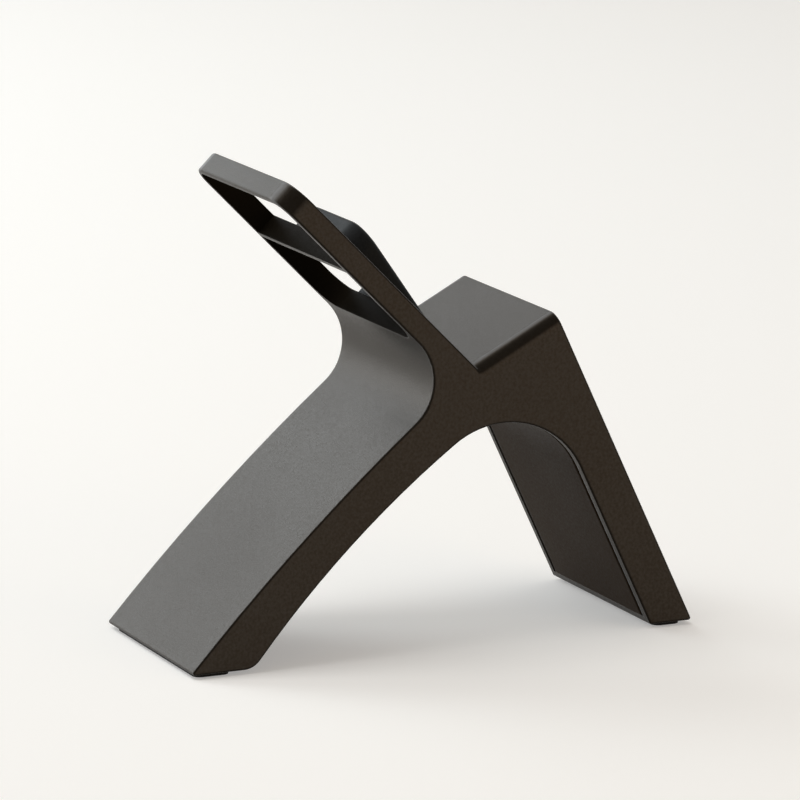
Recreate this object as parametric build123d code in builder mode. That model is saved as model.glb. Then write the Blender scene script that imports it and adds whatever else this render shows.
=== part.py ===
from build123d import *
import os
from math import atan2, cos, dist, radians, sin, tan

# A desk stand that holds one game controller. Seen from the side it is a leaning
# letter lambda: a front leg that ends in a straight lip, a bowed rear leg, and an
# open frame of an arm that leans back behind the seat.
# Millimetres. +Z is up, the front leg stands towards -Y and the width runs along X.
# The origin is on the floor, under the middle of the stand.

# Overall size. The height follows from the lip, the seat and the arm.
width = 42.0
length = 100.0

# Front leg and seat
front_leg_angle = 65.0
front_leg_thickness = 7.9
lip_height = 61.5
seat_angle = 28.0
seat_depth = 18.5
lip_corner_radius = 2.5

# Arm, with its parts in order from the seat corner up to the tip
arm_angle = 45.5
arm_depth = 4.4
arm_foot_length = 11.8
lower_window_height = 19.2
crossbar_height = 1.0
upper_window_height = 17.3
tip_wall = 1.2
side_wall = 1.3
arm_corner_radius = 5.0
upper_window_radius = 3.0
lower_window_radius = 4.5

# Rear leg, hub and arch. The hub and arch corners lie below the seat corner.
rear_foot_depth = 12.5
rear_foot_radius = 4.0
rear_heel_angle = 48.0
rear_leg_under_bow = 3.6
hub_corner_drop = 2.8
hub_radius = 10.0
arch_corner_drop = 3.3
arch_radius = 17.0
edge_radius = 0.45

# Cover panel let into the inner side of both legs and the arch
liner_thickness = 1.8
liner_wall = 1.8
liner_gap = 1.0
liner_end_height = 2.0

# Foot pads, let into the soles
foot_pad_proud = 0.8
foot_pad_sunk = 0.6
foot_pad_inset = 1.6
foot_pad_corner_radius = 1.5

# Cradle pad on the front of the arm
cradle_pad_width = 26.0
cradle_pad_top_rise = 5.2
cradle_pad_low_rise = 0.5
cradle_pad_start = 5.0
cradle_pad_hollow = 1.0
cradle_pad_corner_radius = 5.0
cradle_pad_low_corner_radius = 2.0
cradle_pad_edge_radius = 0.35


def foot_edge_loss(corner_angle):
    """How far back the rounded edge of a foot lies from its sharp corner of this angle."""
    return edge_radius / tan(radians(corner_angle) / 2) - edge_radius


# Corners of the side outline, as (Y, Z), before they are rounded
front_slope = tan(radians(front_leg_angle))
sole = foot_pad_proud
toe = (-length / 2 - foot_edge_loss(front_leg_angle), sole)
heel = (length / 2 + foot_edge_loss(rear_heel_angle), sole)
lip = (toe[0] + (lip_height - sole) / front_slope, lip_height)
seat_corner = (
    lip[0] + seat_depth * cos(radians(seat_angle)),
    lip[1] - seat_depth * sin(radians(seat_angle)),
)
front_instep = (toe[0] + front_leg_thickness / sin(radians(front_leg_angle)), sole)
arch_corner_height = seat_corner[1] - arch_corner_drop
arch_corner = (front_instep[0] + (arch_corner_height - sole) / front_slope, arch_corner_height)
rear_instep = (heel[0] - rear_foot_depth, sole)


def on_arm(along, out):
    """The (Y, Z) point this far up the arm from the seat corner and this far in front of it."""
    return (
        seat_corner[0] + along * cos(radians(arm_angle)) - out * sin(radians(arm_angle)),
        seat_corner[1] + along * sin(radians(arm_angle)) + out * cos(radians(arm_angle)),
    )


crossbar_top = arm_foot_length + lower_window_height + crossbar_height
arm_length = crossbar_top + upper_window_height + tip_wall
tip = on_arm(arm_length, 0)
tip_back = on_arm(arm_length, -arm_depth)
hub_corner_height = seat_corner[1] - hub_corner_drop
hub_corner_run = (tip_back[1] - hub_corner_height) / tan(radians(arm_angle))
hub_corner = (tip_back[0] - hub_corner_run, hub_corner_height)
rear_leg_angle = atan2(hub_corner[1] - heel[1], heel[0] - hub_corner[0])
rear_leg_bow = dist(hub_corner, heel) / 2 * tan((radians(rear_heel_angle) - rear_leg_angle) / 2)

# The front face of the arm, with its origin at the seat corner and its Y up the arm
arm_front = Plane(
    origin=(0, seat_corner[0], seat_corner[1]),
    x_dir=(1, 0, 0),
    z_dir=(0, -sin(radians(arm_angle)), cos(radians(arm_angle))),
)
out_of_arm = Axis(arm_front.origin, arm_front.z_dir)
along_seat = Axis((0, lip[0], lip[1]), (0, seat_corner[0] - lip[0], seat_corner[1] - lip[1]))


def vertex_at(sketch, corner):
    """The vertex of a side outline that lies at this (Y, Z) corner."""
    return sketch.vertices().sort_by_distance(corner)[0]


# Side outline of the moulded body
with BuildSketch(Plane.YZ) as outline:
    with BuildLine():
        Polyline(front_instep, toe, lip, seat_corner, tip, tip_back, hub_corner)
        SagittaArc(hub_corner, heel, rear_leg_bow)
        Line(heel, rear_instep)
        SagittaArc(rear_instep, arch_corner, -rear_leg_under_bow)
        Line(arch_corner, front_instep)
    make_face()
    fillet(vertex_at(outline, hub_corner), hub_radius)
    fillet(vertex_at(outline, arch_corner), arch_radius)
    fillet(vertex_at(outline, rear_instep), rear_foot_radius)

# Side outline of the cover panel: a band of even thickness around the arch
with BuildSketch(Plane.YZ) as liner_outline:
    with BuildLine():
        SagittaArc(rear_instep, arch_corner, -rear_leg_under_bow)
        Polyline(arch_corner, front_instep, rear_instep)
    make_face()
    fillet(vertex_at(liner_outline, arch_corner), arch_radius)
    offset(amount=liner_thickness)
    add(outline.sketch_local, mode=Mode.INTERSECT)
    Rectangle(length, liner_end_height, align=(Align.CENTER, Align.MIN), mode=Mode.SUBTRACT)

# Soles of the foot pads, set in from the outer edges of the feet. The rear pad also stops
# clear of the rounded inner edge of its foot.
front_pad_depth = front_instep[0] - toe[0] - 2 * foot_pad_inset
rear_pad_depth = rear_foot_depth - rear_foot_radius - foot_pad_inset
foot_pad_width = width - 2 * foot_pad_inset
with BuildSketch(Plane.XY) as front_sole:
    with Locations((0, toe[0] + foot_pad_inset)):
        Rectangle(foot_pad_width, front_pad_depth, align=(Align.CENTER, Align.MIN))
    fillet(front_sole.vertices(), foot_pad_corner_radius)
with BuildSketch(Plane.XY) as rear_sole:
    with Locations((0, heel[0] - foot_pad_inset)):
        Rectangle(foot_pad_width, rear_pad_depth, align=(Align.CENTER, Align.MAX))
    fillet(rear_sole.vertices(), foot_pad_corner_radius)

# Moulded body: both legs, the hub, the seat and the open arm in one piece
window_width = width - 2 * side_wall
with BuildPart() as body:
    extrude(outline.sketch, amount=width / 2, dir=(1, 0, 0), both=True)
    fillet(body.edges().filter_by(out_of_arm), arm_corner_radius)
    fillet(body.edges().filter_by(along_seat), lip_corner_radius)
    fillet(body.edges(), edge_radius)
    with BuildSketch(arm_front) as windows:
        with Locations((0, crossbar_top)):
            Rectangle(window_width, upper_window_height, align=(Align.CENTER, Align.MIN))
        fillet(windows.vertices().group_by(Axis.Y)[-1], upper_window_radius)
        with Locations((0, arm_foot_length)):
            Rectangle(window_width, lower_window_height, align=(Align.CENTER, Align.MIN))
        fillet(windows.vertices().group_by(Axis.Y)[0], lower_window_radius)
    extrude(amount=-2 * arm_depth, mode=Mode.SUBTRACT)
    extrude(liner_outline.sketch, amount=width / 2 - liner_wall, dir=(1, 0, 0), both=True, mode=Mode.SUBTRACT)
    extrude(front_sole.sketch, amount=sole + foot_pad_sunk, mode=Mode.SUBTRACT)
    extrude(rear_sole.sketch, amount=sole + foot_pad_sunk, mode=Mode.SUBTRACT)
body.part.label = "body"

# Cover panel under the arch, set back from the side walls by an open shadow gap
with BuildPart() as arch_liner:
    extrude(
        liner_outline.sketch,
        amount=width / 2 - liner_wall - liner_gap,
        dir=(1, 0, 0),
        both=True,
    )
arch_liner.part.label = "arch_liner"

# Anti-slip foot pads
with BuildPart() as front_foot_pad:
    extrude(front_sole.sketch, amount=sole + foot_pad_sunk)
front_foot_pad.part.label = "front_foot_pad"

with BuildPart() as rear_foot_pad:
    extrude(rear_sole.sketch, amount=sole + foot_pad_sunk)
rear_foot_pad.part.label = "rear_foot_pad"

# Soft cradle pad: a wedge on the front of the arm, thickest level with the crossbar. It is
# seated on the crossbar and on the foot of the arm, and its back is hollowed over the window.
with BuildPart() as cradle_pad:
    with BuildSketch(Plane.YZ) as cradle_side:
        with BuildLine():
            Polyline(
                on_arm(crossbar_top, 0),
                on_arm(crossbar_top, cradle_pad_top_rise),
                on_arm(cradle_pad_start, cradle_pad_low_rise),
                on_arm(cradle_pad_start, 0),
                close=True,
            )
        make_face()
    extrude(amount=cradle_pad_width / 2, both=True)
    upright = cradle_pad.edges().filter_by(out_of_arm)
    fillet(upright.group_by(Axis.Z)[-1], cradle_pad_corner_radius)
    upright = cradle_pad.edges().filter_by(out_of_arm)
    fillet(upright.group_by(Axis.Z)[0], cradle_pad_low_corner_radius)
    outer_face = cradle_pad.faces().sort_by(out_of_arm)[-1]
    fillet(outer_face.edges(), cradle_pad_edge_radius)
    with BuildSketch(arm_front) as pad_hollow:
        with Locations((0, arm_foot_length)):
            Rectangle(cradle_pad_width, lower_window_height, align=(Align.CENTER, Align.MIN))
    extrude(amount=cradle_pad_hollow, mode=Mode.SUBTRACT)
cradle_pad.part.label = "cradle_pad"

os.makedirs("parts", exist_ok=True)
export_step(body.part, "parts/body.step")
export_step(arch_liner.part, "parts/arch_liner.step")
export_step(front_foot_pad.part, "parts/front_foot_pad.step")
export_step(rear_foot_pad.part, "parts/rear_foot_pad.step")
export_step(cradle_pad.part, "parts/cradle_pad.step")
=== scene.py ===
import math

import bmesh
import bpy
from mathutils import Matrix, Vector


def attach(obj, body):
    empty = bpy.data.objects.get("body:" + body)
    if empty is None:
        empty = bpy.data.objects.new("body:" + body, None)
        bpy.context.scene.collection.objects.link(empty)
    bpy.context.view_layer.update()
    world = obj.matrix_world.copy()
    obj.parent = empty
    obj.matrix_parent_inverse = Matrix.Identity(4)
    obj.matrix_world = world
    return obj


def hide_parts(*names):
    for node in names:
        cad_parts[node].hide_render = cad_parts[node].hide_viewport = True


# The looks of the game controller stand, in metres and in the CAD's own frame: a procedural
# material for each node, a crowned cradle pad in place of the plain one, a pale floor, soft
# lamps and the photo's camera.

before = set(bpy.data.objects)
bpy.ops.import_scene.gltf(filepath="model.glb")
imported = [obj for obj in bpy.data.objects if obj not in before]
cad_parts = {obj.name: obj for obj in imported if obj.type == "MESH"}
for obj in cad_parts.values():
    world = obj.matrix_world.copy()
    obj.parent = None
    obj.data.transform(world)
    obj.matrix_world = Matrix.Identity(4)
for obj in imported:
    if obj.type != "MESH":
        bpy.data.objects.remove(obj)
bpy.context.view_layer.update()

MM = 0.001
WHITE = (1.0, 1.0, 1.0)

# The arm's front face, as in the CAD: its foot at the seat corner, and its slope
ARM_FOOT = Vector((0.0, -5.617, 52.8148)) * MM
ARM_ANGLE = math.radians(45.5)
UP_THE_ARM = Vector((0.0, math.cos(ARM_ANGLE), math.sin(ARM_ANGLE)))
OUT_OF_ARM = Vector((0.0, -math.sin(ARM_ANGLE), math.cos(ARM_ANGLE)))

# The arm and its windows, in millimetres up, across and out of the arm
ARM_DEPTH = 4.4
WINDOW_START = 11.8
WINDOW_END = 49.3
WINDOW_HALF_WIDTH = 19.7
WINDOW_TOP_RADIUS = 3.0
CROSSBAR_LOW = 31.0
WALL_MARGIN = 0.04

# Cradle pad, in millimetres up, across and out of the arm
PAD_HALF_WIDTH = 13.0
PAD_START = 5.0
PAD_END = 32.0
PAD_LOW_RISE = 0.5
PAD_TOP_RISE = 5.2
PAD_TOP_RADIUS = 5.0
PAD_LOW_RADIUS = 2.0
PAD_LEAST_RADIUS = 0.3
PAD_RADIUS_LOSS = 0.6
PAD_EDGE_RADIUS = 1.1
PAD_EDGE_SHARE = 0.85
PAD_CROWN = 0.25
PAD_CROWN_REACH = 3.5
PAD_HOLLOW = 1.0
CUTTER_MARGIN = 1.0

# Steps of the pad's mesh: its rings from the roll's start to the middle of its face
CORNER_STEPS = 14
SIDE_STEPS = 10
ROLL_DEGREES = range(0, 91, 15)
FACE_INSETS = (1.9, 2.8, 4.0, 5.5, 7.2, 9.0, 10.8, 11.7)
SHARP_ANGLE = math.radians(50.0)

# Moulded surfaces: noise scales in features per metre, and radii in millimetres
CLOUD_SCALE = 38.0
CLOUD_SHARE = 0.2
FLECK_SCALE_SHARE = 0.7
RUB_SCALE = 260.0
ROUNDED_EDGE = 0.45
BEVEL_SAMPLES = 6
CLOUD_GLOSS = 0.025
FLECK_GLOSS = 0.065
RUBBED_GLOSS = 0.08
BUMP_STRENGTH = 0.55
SHEEN_ROUGHNESS = 0.5
# Painted light: a pale highlight line and a dark reflection line along the side edges, and painted
# shade on the window walls
PAINTED_LINE_SHARE = 0.8
HIGHLIGHT_LINE_COLOUR = (0.15, 0.153, 0.158)
# Painted shade: the window walls keep this share of their gloss
SHADED_WALL_SPECULAR_SHARE = 0.03
DARK_REFLECTION_SPECULAR_SHARE = 0.2

# Floor and world. The floor's lift grows from near to far, at these distances from the middle.
FLOOR_HALF_SIZE = 8.0
FLOOR_COLOUR = (0.815, 0.785, 0.75)
FLOOR_LIFT = (0.30, 0.78)
FLOOR_FADE = (1.2, 3.0)
AMBIENT_COLOUR = (1.0, 0.88, 0.74)
AMBIENT_STRENGTH = 0.28

# Soft square lamps: name, place, size in metres, power in watts and colour
LAMP_TARGET = Vector((0.0, 0.0, 0.04))
SOFTBOXES = (
    ("far_softbox", (1.05, 0.34, 0.62), 0.9, 6.1, (0.84, 0.94, 1.0)),
    ("low_softbox", (0.88, 0.80, 0.12), 0.6, 6.4, (0.84, 0.94, 1.0)),
    ("warm_fill", (-0.62, -0.30, 0.14), 0.35, 0.65, (1.0, 0.76, 0.48)),
    ("top_softbox", (0.12, 0.42, 1.1), 0.8, 5.5, (0.90, 0.96, 1.0)),
)

# The place of the photo's camera, turned to the middle of the stand
CAMERA_PLACE = Vector((-0.9587, 0.4285, 0.2696))
CAMERA_TARGET = Vector((0.0, 0.0, 0.043))
CAMERA_LENS = 262.0
CAMERA_SENSOR = 36.0
CAMERA_REACH = 30.0


def add_object(name, data):
    """A new object with this data, linked into the scene."""
    added = bpy.data.objects.new(name, data)
    bpy.context.scene.collection.objects.link(added)
    return added


def aim(thing, place, target):
    """Puts a lamp or a camera in its place and turns it to the target."""
    thing.location = place
    thing.rotation_mode = "QUATERNION"
    thing.rotation_quaternion = (Vector(place) - target).to_track_quat("Z", "Y")


def on_arm(across, along, out):
    """The point in metres that lies this many millimetres across, up and out of the arm."""
    return ARM_FOOT + (Vector((across, 0.0, 0.0)) + UP_THE_ARM * along + OUT_OF_ARM * out) * MM


def noise(tree, where, scale, detail, roughness=0.55):
    """A noise texture in object space; its scale is in features per metre."""
    node = tree.nodes.new("ShaderNodeTexNoise")
    node.inputs["Scale"].default_value = scale
    node.inputs["Detail"].default_value = detail
    node.inputs["Roughness"].default_value = roughness
    tree.links.new(where, node.inputs["Vector"])
    return node.outputs["Fac"]


def remap(tree, value, low, high, to_low, to_high):
    """The value, stretched from one range to another and held inside it."""
    node = tree.nodes.new("ShaderNodeMapRange")
    names = ("From Min", "From Max", "To Min", "To Max")
    for name, number in zip(names, (low, high, to_low, to_high)):
        node.inputs[name].default_value = number
    tree.links.new(value, node.inputs["Value"])
    return node.outputs["Result"]


def blend_colours(tree, factor, first, second):
    """A mix of two colours, each a plain tuple or another socket."""
    node = tree.nodes.new("ShaderNodeMix")
    node.data_type = "RGBA"
    tree.links.new(factor, node.inputs["Factor"])
    for socket, colour in ((node.inputs["A"], first), (node.inputs["B"], second)):
        if isinstance(colour, tuple):
            socket.default_value = (*colour, 1.0)
        else:
            tree.links.new(colour, socket)
    return node.outputs["Result"]


def arithmetic(tree, operation, first, second=0.0):
    """One math node on one or two sockets or numbers."""
    node = tree.nodes.new("ShaderNodeMath")
    node.operation = operation
    for socket, value in zip(node.inputs, (first, second)):
        if isinstance(value, float):
            socket.default_value = value
        else:
            tree.links.new(value, socket)
    return node.outputs["Value"]


def vector_math(tree, operation, first, second=None):
    """One vector math node on a socket and, where given, a plain vector or another socket."""
    node = tree.nodes.new("ShaderNodeVectorMath")
    node.operation = operation
    tree.links.new(first, node.inputs[0])
    if isinstance(second, Vector):
        node.inputs[1].default_value = second
    elif second:
        tree.links.new(second, node.inputs[1])
    return node.outputs["Vector" if operation == "SUBTRACT" else "Value"]


def width_part(tree, vector):
    """How far a vector reaches across the stand, to either side."""
    axes = tree.nodes.new("ShaderNodeSeparateXYZ")
    tree.links.new(vector, axes.inputs["Vector"])
    return arithmetic(tree, "ABSOLUTE", axes.outputs["X"])


def edge_mask(tree, radius):
    """1 along the outer edges of the piece and 0 on its faces, with the rounded normal."""
    bevel = tree.nodes.new("ShaderNodeBevel")
    bevel.samples = BEVEL_SAMPLES
    bevel.inputs["Radius"].default_value = radius
    flat = tree.nodes.new("ShaderNodeNewGeometry").outputs["Normal"]
    rounded = bevel.outputs["Normal"]
    alike = vector_math(tree, "DOT_PRODUCT", rounded, flat)
    return remap(tree, alike, 0.995, 0.86, 0.0, 1.0), rounded


def between(tree, value, low, high):
    """1 where the value lies between the two numbers, and 0 elsewhere."""
    above = arithmetic(tree, "GREATER_THAN", value, low)
    below = arithmetic(tree, "LESS_THAN", value, high)
    return arithmetic(tree, "MULTIPLY", above, below)


def painted_window_shade(tree, where):
    """Painted shade: 1 on the walls inside the arm's two windows, which are darkened as if in
    shade, and 0 on the rest of the body.
    """
    from_foot = vector_math(tree, "SUBTRACT", where, ARM_FOOT)
    along = vector_math(tree, "DOT_PRODUCT", from_foot, UP_THE_ARM)
    out = vector_math(tree, "DOT_PRODUCT", from_foot, OUT_OF_ARM)
    across = width_part(tree, where)
    # The windows' outer edge has round upper corners, so the distance is taken from their centres.
    squares = []
    for distance, limit in ((across, WINDOW_HALF_WIDTH), (along, WINDOW_END)):
        past = arithmetic(tree, "SUBTRACT", distance, (limit - WINDOW_TOP_RADIUS) * MM)
        past = arithmetic(tree, "MAXIMUM", past, 0.0)
        squares.append(arithmetic(tree, "MULTIPLY", past, past))
    from_corner = arithmetic(tree, "SQRT", arithmetic(tree, "ADD", *squares))
    inside = arithmetic(tree, "LESS_THAN", from_corner, (WINDOW_TOP_RADIUS + WALL_MARGIN) * MM)
    above = arithmetic(tree, "GREATER_THAN", along, (WINDOW_START - WALL_MARGIN) * MM)
    deep = between(tree, out, (WALL_MARGIN - ARM_DEPTH) * MM, -WALL_MARGIN * MM)
    return arithmetic(tree, "MULTIPLY", arithmetic(tree, "MULTIPLY", above, deep), inside)


def painted_edge_lines(tree, rounded):
    """A painted highlight line and a painted dark reflection line along the edges between the
    broad faces and the sides.
    """
    turn = width_part(tree, rounded)
    pale = arithmetic(
        tree, "MULTIPLY",
        remap(tree, turn, 0.02, 0.14, 0.0, 1.0), remap(tree, turn, 0.3, 0.5, 1.0, 0.0),
    )
    dark = arithmetic(
        tree, "MULTIPLY",
        remap(tree, turn, 0.35, 0.6, 0.0, 1.0), remap(tree, turn, 0.94, 0.995, 1.0, 0.0),
    )
    return pale, dark


def moulded(
    name, deep, pale, edge, rough, grain, grain_depth, specular, sheen=0.0, tint=WHITE, painted_dark_colour=None,
):
    """Moulded plastic or rubber: even fine grain, faint clouding and rubbed edges.

    Deep and pale are the ends of its colour range, edge is the colour where it is rubbed, and the
    last colour, where given, is painted shade on the arm's window walls and a painted dark
    reflection line along the side edges, which come with a painted highlight line.
    """
    material = bpy.data.materials.new(name)
    material.use_nodes = True
    tree = material.node_tree
    tree.nodes.clear()
    output = tree.nodes.new("ShaderNodeOutputMaterial")
    shader = tree.nodes.new("ShaderNodeBsdfPrincipled")
    tree.links.new(shader.outputs["BSDF"], output.inputs["Surface"])
    where = tree.nodes.new("ShaderNodeTexCoord").outputs["Object"]
    clouds = noise(tree, where, CLOUD_SCALE, detail=4.0)
    flecks = noise(tree, where, grain * FLECK_SCALE_SHARE, detail=2.0)
    grains = noise(tree, where, grain, detail=4.0, roughness=0.65)
    rubs = noise(tree, where, RUB_SCALE, detail=5.0)

    # Colour
    tone = arithmetic(
        tree, "ADD",
        arithmetic(tree, "MULTIPLY", clouds, CLOUD_SHARE),
        arithmetic(tree, "MULTIPLY", flecks, 1.0 - CLOUD_SHARE),
    )
    colour = blend_colours(tree, remap(tree, tone, 0.36, 0.64, 0.0, 1.0), deep, pale)
    mask, rounded = edge_mask(tree, ROUNDED_EDGE * MM)
    rub = arithmetic(tree, "MULTIPLY", mask, remap(tree, rubs, 0.36, 0.66, 0.15, 0.9))
    colour = blend_colours(tree, rub, colour, edge)
    # Painted light: a pale highlight line and a dark reflection line along the side edges, and
    # painted shade on the window walls
    if painted_dark_colour:
        highlight_line, dark_reflection_line = painted_edge_lines(tree, rounded)
        for line, line_colour in ((highlight_line, HIGHLIGHT_LINE_COLOUR), (dark_reflection_line, painted_dark_colour)):
            share = arithmetic(tree, "MULTIPLY", line, PAINTED_LINE_SHARE)
            colour = blend_colours(tree, share, colour, line_colour)
        # Painted shade: the walls inside the windows take the dark colour and lose most of their
        # gloss
        walls = painted_window_shade(tree, where)
        colour = blend_colours(tree, walls, colour, painted_dark_colour)
        level = arithmetic(
            tree, "MULTIPLY",
            remap(tree, walls, 0.0, 1.0, specular, SHADED_WALL_SPECULAR_SHARE * specular),
            remap(tree, dark_reflection_line, 0.0, 1.0, 1.0, DARK_REFLECTION_SPECULAR_SHARE),
        )
        tree.links.new(level, shader.inputs["Specular IOR Level"])
    tree.links.new(colour, shader.inputs["Base Color"])

    # Gloss
    gloss = arithmetic(
        tree, "ADD",
        remap(tree, clouds, 0.3, 0.7, rough - CLOUD_GLOSS, rough + CLOUD_GLOSS),
        remap(tree, flecks, 0.3, 0.7, -FLECK_GLOSS, FLECK_GLOSS),
    )
    rubbed = arithmetic(tree, "MULTIPLY", rub, RUBBED_GLOSS)
    tree.links.new(arithmetic(tree, "SUBTRACT", gloss, rubbed), shader.inputs["Roughness"])
    shader.inputs["Specular IOR Level"].default_value = specular
    shader.inputs["Specular Tint"].default_value = (*tint, 1.0)
    shader.inputs["Sheen Weight"].default_value = sheen
    shader.inputs["Sheen Roughness"].default_value = SHEEN_ROUGHNESS

    # Grain
    bump = tree.nodes.new("ShaderNodeBump")
    bump.inputs["Strength"].default_value = BUMP_STRENGTH
    bump.inputs["Distance"].default_value = grain_depth
    tree.links.new(grains, bump.inputs["Height"])
    tree.links.new(rounded, bump.inputs["Normal"])
    tree.links.new(bump.outputs["Normal"], shader.inputs["Normal"])
    return material


def paint(node, material):
    """Gives a CAD node its material in every slot."""
    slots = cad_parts[node].material_slots
    for material_slot in slots:
        material_slot.material = material
    if not slots:
        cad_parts[node].data.materials.append(material)


def pad_ring(inset):
    """The pad's outline, drawn in by the inset, as points across and up the arm in millimetres."""
    half = PAD_HALF_WIDTH - inset
    low, high = PAD_START + inset, PAD_END - inset
    corners = (
        (1, high, PAD_TOP_RADIUS, 0.0), (-1, high, PAD_TOP_RADIUS, 90.0),
        (-1, low, PAD_LOW_RADIUS, 180.0), (1, low, PAD_LOW_RADIUS, 270.0),
    )
    arcs = []
    for side, end, radius, start in corners:
        radius = max(radius - PAD_RADIUS_LOSS * inset, PAD_LEAST_RADIUS)
        centre = (side * (half - radius), end - radius if end == high else end + radius)
        turns = [math.radians(start + 90.0 * k / CORNER_STEPS) for k in range(CORNER_STEPS + 1)]
        arcs.append([
            (centre[0] + radius * math.cos(t), centre[1] + radius * math.sin(t)) for t in turns
        ])
    ring = []
    for arc, following in zip(arcs, arcs[1:] + arcs[:1]):
        ring += arc
        (x0, s0), (x1, s1) = arc[-1], following[0]
        for k in range(1, SIDE_STEPS):
            t = k / SIDE_STEPS
            ring.append((x0 + (x1 - x0) * t, s0 + (s1 - s0) * t))
    return ring


def pad_rise(along):
    """Height of the pad's face over the arm, in millimetres, before it is crowned."""
    share = (along - PAD_START) / (PAD_END - PAD_START)
    return PAD_LOW_RISE + (PAD_TOP_RISE - PAD_LOW_RISE) * share


def make_cradle_pad(material):
    """A firm soft wedge: straight walls, a rolled edge and a slightly crowned face."""
    # Each ring has an inset, its kind, and how far up the wall or the roll it lies.
    levels = [(0.0, "wall", 0.0), (0.0, "wall", 0.5)]
    for degrees in ROLL_DEGREES:
        turn = math.radians(degrees)
        levels.append(((1.0 - math.cos(turn)) * PAD_EDGE_RADIUS, "roll", math.sin(turn)))
    levels += [(inset, "face", 1.0) for inset in FACE_INSETS]
    bm = bmesh.new()
    rings = []
    for inset, kind, share in levels:
        ring = []
        for across, along in pad_ring(inset):
            rise = pad_rise(along)
            roll = min(PAD_EDGE_RADIUS, PAD_EDGE_SHARE * rise)
            out = (rise - roll) * share if kind == "wall" else rise - roll + roll * share
            out += PAD_CROWN * (1.0 - math.exp(-inset / PAD_CROWN_REACH))
            ring.append(bm.verts.new(on_arm(across, along, out)))
        rings.append(ring)
    count = len(rings[0])
    for lower, upper in zip(rings, rings[1:]):
        for i in range(count):
            j = (i + 1) % count
            bm.faces.new((lower[i], lower[j], upper[j], upper[i]))
    bm.faces.new(rings[-1])
    bm.faces.new(list(reversed(rings[0])))
    bmesh.ops.recalc_face_normals(bm, faces=bm.faces)
    mesh = bpy.data.meshes.new("cradle_wedge")
    bm.to_mesh(mesh)
    bm.free()
    mesh.shade_smooth()
    mesh.set_sharp_from_angle(angle=SHARP_ANGLE)
    mesh.materials.append(material)
    return add_object("cradle_wedge", mesh)


def hollow_back(piece):
    """Takes the hollow over the lower window out of the back of the pad."""
    side = PAD_HALF_WIDTH + CUTTER_MARGIN
    corners = [
        on_arm(across, along, out)
        for along in (WINDOW_START, CROSSBAR_LOW)
        for out in (-PAD_HOLLOW, PAD_HOLLOW)
        for across in (-side, side)
    ]
    # The cutter's faces point outward, or the cut takes nothing away.
    faces = [(1, 3, 2, 0), (6, 7, 5, 4), (4, 5, 1, 0), (3, 7, 6, 2), (2, 6, 4, 0), (5, 7, 3, 1)]
    cutter_mesh = bpy.data.meshes.new("hollow")
    cutter_mesh.from_pydata(corners, [], faces)
    cutter = add_object("hollow", cutter_mesh)
    cut = piece.modifiers.new("hollow", "BOOLEAN")
    cut.object = cutter
    cut.operation = "DIFFERENCE"
    cut.solver = "EXACT"
    evaluated = piece.evaluated_get(bpy.context.evaluated_depsgraph_get())
    cut_mesh = bpy.data.meshes.new_from_object(evaluated)
    piece.modifiers.clear()
    piece.data = cut_mesh
    bpy.data.objects.remove(cutter)
    cut_mesh.set_sharp_from_angle(angle=SHARP_ANGLE)


def seen_rays(tree, strength):
    """The strength for rays that show the background, straight, mirrored or through glass."""
    paths = tree.nodes.new("ShaderNodeLightPath").outputs
    shown = arithmetic(tree, "MAXIMUM", paths["Is Camera Ray"], paths["Is Glossy Ray"])
    shown = arithmetic(tree, "MAXIMUM", shown, paths["Is Transmission Ray"])
    return arithmetic(tree, "MULTIPLY", shown, strength)


def make_floor():
    """A wide pale floor that shows as near white and still takes the shadow."""
    mesh = bpy.data.meshes.new("floor")
    half = FLOOR_HALF_SIZE
    corners = [(-half, -half, 0), (half, -half, 0), (half, half, 0), (-half, half, 0)]
    mesh.from_pydata(corners, [], [(0, 1, 2, 3)])
    floor = add_object("floor", mesh)
    material = bpy.data.materials.new("floor")
    material.use_nodes = True
    tree = material.node_tree
    tree.nodes.clear()
    output = tree.nodes.new("ShaderNodeOutputMaterial")
    matte = tree.nodes.new("ShaderNodeBsdfDiffuse")
    matte.inputs["Color"].default_value = (*FLOOR_COLOUR, 1.0)
    lift = tree.nodes.new("ShaderNodeEmission")
    lift.inputs["Color"].default_value = (*WHITE, 1.0)
    where = tree.nodes.new("ShaderNodeTexCoord").outputs["Object"]
    fade = remap(tree, vector_math(tree, "LENGTH", where), *FLOOR_FADE, *FLOOR_LIFT)
    tree.links.new(seen_rays(tree, fade), lift.inputs["Strength"])
    both = tree.nodes.new("ShaderNodeAddShader")
    tree.links.new(matte.outputs["BSDF"], both.inputs[0])
    tree.links.new(lift.outputs["Emission"], both.inputs[1])
    tree.links.new(both.outputs["Shader"], output.inputs["Surface"])
    mesh.materials.append(material)


def make_world():
    """A white backdrop to look at, and a dimmer even light from all round."""
    world = bpy.data.worlds.new("studio")
    world.use_nodes = True
    tree = world.node_tree
    tree.nodes.clear()
    output = tree.nodes.new("ShaderNodeOutputWorld")
    background = tree.nodes.new("ShaderNodeBackground")
    shown = seen_rays(tree, 1.0)
    colour = blend_colours(tree, shown, AMBIENT_COLOUR, WHITE)
    tree.links.new(colour, background.inputs["Color"])
    strength = arithmetic(tree, "MAXIMUM", shown, AMBIENT_STRENGTH)
    tree.links.new(strength, background.inputs["Strength"])
    tree.links.new(background.outputs["Background"], output.inputs["Surface"])
    bpy.context.scene.world = world


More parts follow.
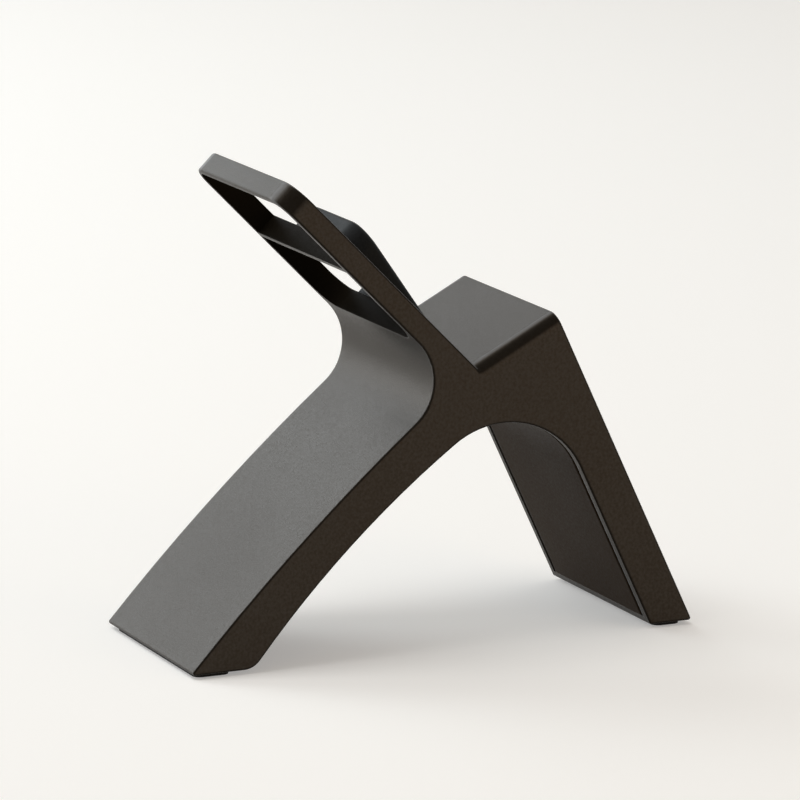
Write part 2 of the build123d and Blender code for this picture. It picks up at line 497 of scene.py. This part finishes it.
def make_softbox(name, place, size, watts, colour):
    """A square area lamp that faces the object and stays out of the picture."""
    lamp = bpy.data.lights.new(name, "AREA")
    lamp.size = size
    lamp.energy = watts
    lamp.color = colour
    softbox = add_object(name, lamp)
    aim(softbox, place, LAMP_TARGET)
    softbox.visible_camera = False


def make_camera():
    """The photo's camera."""
    lens = bpy.data.cameras.new("camera")
    lens.lens = CAMERA_LENS
    lens.sensor_width = CAMERA_SENSOR
    lens.clip_end = CAMERA_REACH
    camera = add_object("camera", lens)
    aim(camera, CAMERA_PLACE, CAMERA_TARGET)
    bpy.context.scene.camera = camera


body_plastic = moulded(
    "body_plastic",
    deep=(0.0215, 0.0206, 0.0194), pale=(0.0365, 0.0352, 0.0332), edge=(0.085, 0.081, 0.077),
    rough=0.43, grain=2600.0, grain_depth=0.072 * MM, specular=0.20, tint=(1.0, 0.66, 0.38),
    # The dark colour painted as shade on the window walls and as the dark edge reflection line
    painted_dark_colour=(0.0085, 0.0066, 0.0046),
)
liner_plastic = moulded(
    "liner_plastic",
    deep=(0.0165, 0.0088, 0.0036), pale=(0.0225, 0.0128, 0.0062), edge=(0.05, 0.041, 0.032),
    rough=0.55, grain=2900.0, grain_depth=0.02 * MM, specular=0.05, tint=(1.0, 0.70, 0.44),
)
foot_rubber = moulded(
    "foot_rubber",
    deep=(0.012, 0.012, 0.012), pale=(0.019, 0.019, 0.019), edge=(0.03, 0.03, 0.03),
    rough=0.8, grain=1800.0, grain_depth=0.03 * MM, specular=0.2,
)
pad_rubber = moulded(
    "pad_rubber",
    deep=(0.0026, 0.0025, 0.0024), pale=(0.0078, 0.0076, 0.0073), edge=(0.020, 0.0195, 0.019),
    rough=0.5, grain=2900.0, grain_depth=0.03 * MM, specular=0.07, sheen=0.01,
)

paint("body", body_plastic)
paint("arch_liner", liner_plastic)
paint("front_foot_pad", foot_rubber)
paint("rear_foot_pad", foot_rubber)

wedge = make_cradle_pad(pad_rubber)
hollow_back(wedge)
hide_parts("cradle_pad")
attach(wedge, "root")

make_floor()
make_world()
for softbox_values in SOFTBOXES:
    make_softbox(*softbox_values)
make_camera()
bpy.context.scene.view_settings.view_transform = "Standard"
